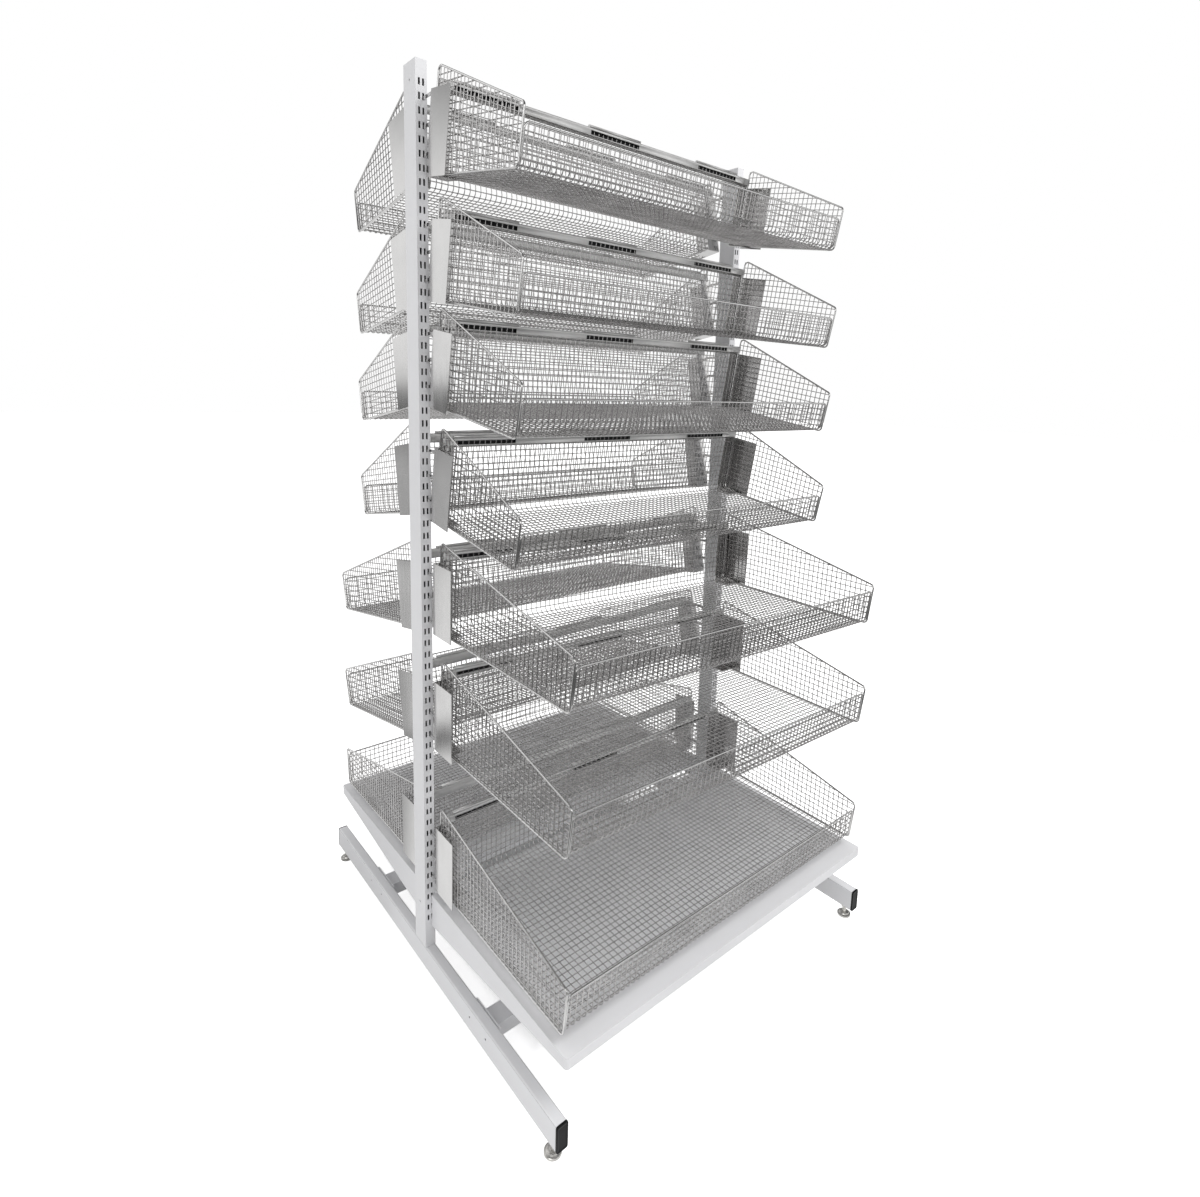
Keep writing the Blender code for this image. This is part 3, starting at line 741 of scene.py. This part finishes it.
# The studio that only reflections see. On its floor white paper lies round the unit and narrows towards
# the front, with bare floor beside it and a grey room beyond.
mirroredFloor = {
    "paper": (3.9, 4.4), "room": .58, "farRoom": .13, "farFrom": (10.0, 24.0),
    "strip": (2.04, 1.0, 0), "stripOff": .58, "stripEdge": (.14, .26), "stripTone": .30,
    "shadeAt": (-.975, .945, 0), "shade": (.04, .17), "shadeTone": .08,
    "sheetLean": 1.2, "sheetEdge": (-1.7, -1.3), "bareNear": (4.0, 8.0), "bareTone": (.12, .25),
    "litSide": (.10, .35), "litFrom": (1.8, 3.0), "lit": .80,
}
# Its walls are white behind, darker at the right rear and at the flags on both sides, and bright in front,
# where the left one is dark at its foot. The ceiling is dark. A soft box hangs at the left rear.
mirroredWalls = {
    "flags": (.80, .92), "flag": .25, "wallTop": (.26, .43), "ceiling": .06,
    "rightRear": (.05, .35), "rearTone": .35,
    "skyline": (-.004, .004), "belowSkyline": mirroredFloor["farRoom"],
    "front": (-.20, .10), "frontTop": (.38, .52), "frontReach": (-.1, .1), "frontBright": 1.4,
    "leftRise": (.06, .28), "leftFoot": .10,
    "rightSide": mirroredFloor["litSide"], "rightRise": (.06, .12), "rightTone": (1.0, 1.2),
    "overBox": (.60, .74), "overGlow": .12,
    "sideBox": (-.49, .58, .65), "sideEdge": (.86, .93), "sideGlow": 1.1, "sideLow": (.38, .44),
}
plainLight = {"horizon": .50, "overhead": 1.0}
lamps = {
    "key_lamp": {"place": (-3.2, -1.7, 1.7), "target": (0, 0, .7), "size": 2.2, "power": 24.0,
                 "mirrored": True},
    "fill_lamp": {"place": (1.1, -2.2, 3.6), "target": (0, 0, .5), "size": 2.4, "power": 66.0,
                  "mirrored": False},
}


def shaderPair(tree, factor, first, second):
    mix = addNode(tree, "ShaderNodeMixShader")
    for socket, value in zip(mix.inputs, (factor, first, second)):
        feed(tree, socket, value)
    return mix.outputs[0]


def vectorNode(tree, operation, vector, fixed=None):
    node = addNode(tree, "ShaderNodeVectorMath", operation=operation)
    feed(tree, node.inputs[0], vector)
    if fixed:
        node.inputs[1].default_value = fixed
    return node.outputs["Value"]


def reflectionRay(tree, path):
    return mathNode(tree, "MAXIMUM", path.outputs["Is Glossy Ray"], path.outputs["Is Transmission Ray"])


def makeFloor(f, m):
    # a flat square grid at height 0
    half = f["size"] / 2
    grid = np.linspace(-half, half, f["cuts"])
    gx, gy = np.meshgrid(grid, grid)
    points = np.stack([gx, gy, np.zeros_like(gx)], -1).reshape(-1, 3)
    mesh = bpy.data.meshes.new("floor")
    k = np.arange(gx.size).reshape(gx.shape)
    quads = np.stack([k[:-1, :-1], k[:-1, 1:], k[1:, 1:], k[1:, :-1]], -1).reshape(-1, 4)
    mesh.from_pydata(points.tolist(), [], quads.tolist())
    mat, tree, shade = newMaterial("pale_floor")
    at = objectCoords(tree)
    patches = spreadNode(tree, noiseNode(tree, at, f["patch"]), *f["patchSpread"])
    feed(tree, shade.inputs["Base Color"], mixColour(tree, patches, f["dull"], f["light"]))
    shade.inputs["Roughness"].default_value = f["rough"]
    path = addNode(tree, "ShaderNodeLightPath")
    glow, mirrored = addNode(tree, "ShaderNodeEmission"), addNode(tree, "ShaderNodeEmission")
    # the camera's white, left off under the decks so that their shadow shows between them
    split = addNode(tree, "ShaderNodeSeparateXYZ")
    feed(tree, split.inputs[0], at)
    offX = mathNode(tree, "ABSOLUTE", split.outputs[0])
    offY = mathNode(tree, "ABSOLUTE", mathNode(tree, "SUBTRACT", split.outputs[1], f["underMiddle"]))
    clear = spreadNode(tree, mathNode(tree, "MAXIMUM", offX, offY), *f["under"], 0.0, f["white"])
    feed(tree, glow.inputs["Strength"], mathNode(tree, "MULTIPLY", path.outputs["Is Camera Ray"], clear))
    # mirrored tone: paper, then the room, then the far room, with a strip of painted shade and a patch of
    # painted shade on the paper
    away = vectorNode(tree, "LENGTH", at)
    room = spreadNode(tree, away, *m["farFrom"], m["room"], m["farRoom"])
    tone = mathNode(tree, "MAXIMUM", spreadNode(tree, away, *m["paper"], 1.0, 0.0), room)
    strip = mathNode(tree, "ADD", vectorNode(tree, "DOT_PRODUCT", at, m["strip"]), m["stripOff"])
    strip = spreadNode(tree, mathNode(tree, "ABSOLUTE", strip), *m["stripEdge"], m["stripTone"], 1.0)
    patch = vectorNode(tree, "DISTANCE", at, m["shadeAt"])
    patch = spreadNode(tree, patch, *m["shade"], m["shadeTone"], 1.0)
    tone = mathNode(tree, "MULTIPLY", mathNode(tree, "MULTIPLY", tone, strip), patch)
    # off the paper, bare floor: dark near the unit, lit on the right
    onSheet = mathNode(tree, "SUBTRACT", split.outputs[1], mathNode(tree, "MULTIPLY", offX, m["sheetLean"]))
    onSheet = spreadNode(tree, onSheet, *m["sheetEdge"])
    lit = spreadNode(tree, mathNode(tree, "DIVIDE", split.outputs[0], away), *m["litSide"])
    lit = mathNode(tree, "MULTIPLY", lit, spreadNode(tree, away, *m["litFrom"], 0.0, m["lit"]))
    bare = mathNode(tree, "MAXIMUM", lit, spreadNode(tree, away, *m["bareNear"], *m["bareTone"]))
    bare = mathNode(tree, "MULTIPLY", bare, mathNode(tree, "SUBTRACT", 1.0, onSheet))
    feed(tree, mirrored.inputs["Strength"], mathNode(tree, "MULTIPLY_ADD", tone, onSheet, bare))
    add = addNode(tree, "ShaderNodeAddShader")
    feed(tree, add.inputs[0], shade.outputs[0])
    feed(tree, add.inputs[1], glow.outputs[0])
    feed(tree, tree.nodes["Material Output"].inputs["Surface"],
         shaderPair(tree, reflectionRay(tree, path), add.outputs[0], mirrored.outputs[0]))
    mesh.materials.append(mat)
    floor = bpy.data.objects.new("floor", mesh)
    scene.collection.objects.link(floor)


def makeWorld(p, m):
    world = bpy.data.worlds.new("studio")
    scene.world = world
    world.use_nodes = True
    tree = world.node_tree
    tree.nodes.clear()
    out = addNode(tree, "ShaderNodeOutputWorld")
    light, white, mirror = (addNode(tree, "ShaderNodeBackground") for _ in range(3))
    for part in (light, white, mirror):
        part.inputs["Color"].default_value = (1, 1, 1, 1)
    way = addNode(tree, "ShaderNodeTexCoord").outputs["Generated"]
    split = addNode(tree, "ShaderNodeSeparateXYZ")
    feed(tree, split.inputs[0], way)
    x, y, z = split.outputs
    feed(tree, light.inputs["Strength"], spreadNode(tree, z, 0.0, 1.0, p["horizon"], p["overhead"]))
    # bright walls all round with a darker flag at either side, then held down by limits
    bright = m["frontBright"]
    walls = spreadNode(tree, mathNode(tree, "ABSOLUTE", x), *m["flags"], bright, m["flag"])
    # in front, up to its top, the limits of the ceiling and of the right rear don't count
    before = mathNode(tree, "MULTIPLY", spreadNode(tree, y, *m["frontReach"], bright, 0.0),
                      spreadNode(tree, z, *m["frontTop"], 1.0, 0.0))
    onRight = spreadNode(tree, x, *m["rightSide"])
    onLeft = mathNode(tree, "SUBTRACT", 1.0, onRight)
    left = mathNode(tree, "MULTIPLY", spreadNode(tree, z, *m["leftRise"], m["leftFoot"], bright), onLeft)
    right = mathNode(tree, "MULTIPLY", spreadNode(tree, z, *m["rightRise"], *m["rightTone"]), onRight)
    front = mathNode(tree, "MAXIMUM", spreadNode(tree, y, *m["front"]), mathNode(tree, "ADD", left, right))
    rear = mathNode(tree, "MAXIMUM", spreadNode(tree, x, *m["rightRear"], 1.0, m["rearTone"]), before)
    top = mathNode(tree, "MAXIMUM", spreadNode(tree, z, *m["wallTop"], 1.0, m["ceiling"]), before)
    ground = spreadNode(tree, z, *m["skyline"], m["belowSkyline"], bright)
    for limit in (top, front, rear, ground):
        walls = mathNode(tree, "MINIMUM", walls, limit)
    # the soft box at the left rear and a dim glow overhead
    sideBox = vectorNode(tree, "DOT_PRODUCT", way, m["sideBox"])
    sideBox = spreadNode(tree, sideBox, *m["sideEdge"], 0.0, m["sideGlow"])
    sideBox = mathNode(tree, "MULTIPLY", sideBox, spreadNode(tree, z, *m["sideLow"]))
    overBox = spreadNode(tree, z, *m["overBox"], 0.0, m["overGlow"])
    for box in (sideBox, overBox):
        walls = mathNode(tree, "MAXIMUM", walls, box)
    feed(tree, mirror.inputs["Strength"], walls)
    path = addNode(tree, "ShaderNodeLightPath")
    around = shaderPair(tree, reflectionRay(tree, path), light.outputs[0], mirror.outputs[0])
    feed(tree, out.inputs["Surface"],
         shaderPair(tree, path.outputs["Is Camera Ray"], around, white.outputs[0]))


def makeLamp(name, place, target, size, power, mirrored):
    data = bpy.data.lights.new(name, "AREA")
    data.shape, data.size, data.energy = "DISK", size, power
    lamp = bpy.data.objects.new(name, data)
    lamp.location = place
    lamp.visible_glossy = mirrored
    lamp.rotation_mode = "QUATERNION"
    lamp.rotation_quaternion = (Vector(target) - Vector(place)).to_track_quat("-Z", "Y")
    scene.collection.objects.link(lamp)


makeFloor(paleFloor, mirroredFloor)
makeWorld(plainLight, mirroredWalls)
for name, lamp in lamps.items():
    makeLamp(name, **lamp)
scene.view_settings.view_transform = "Standard"
print("stage and light made")
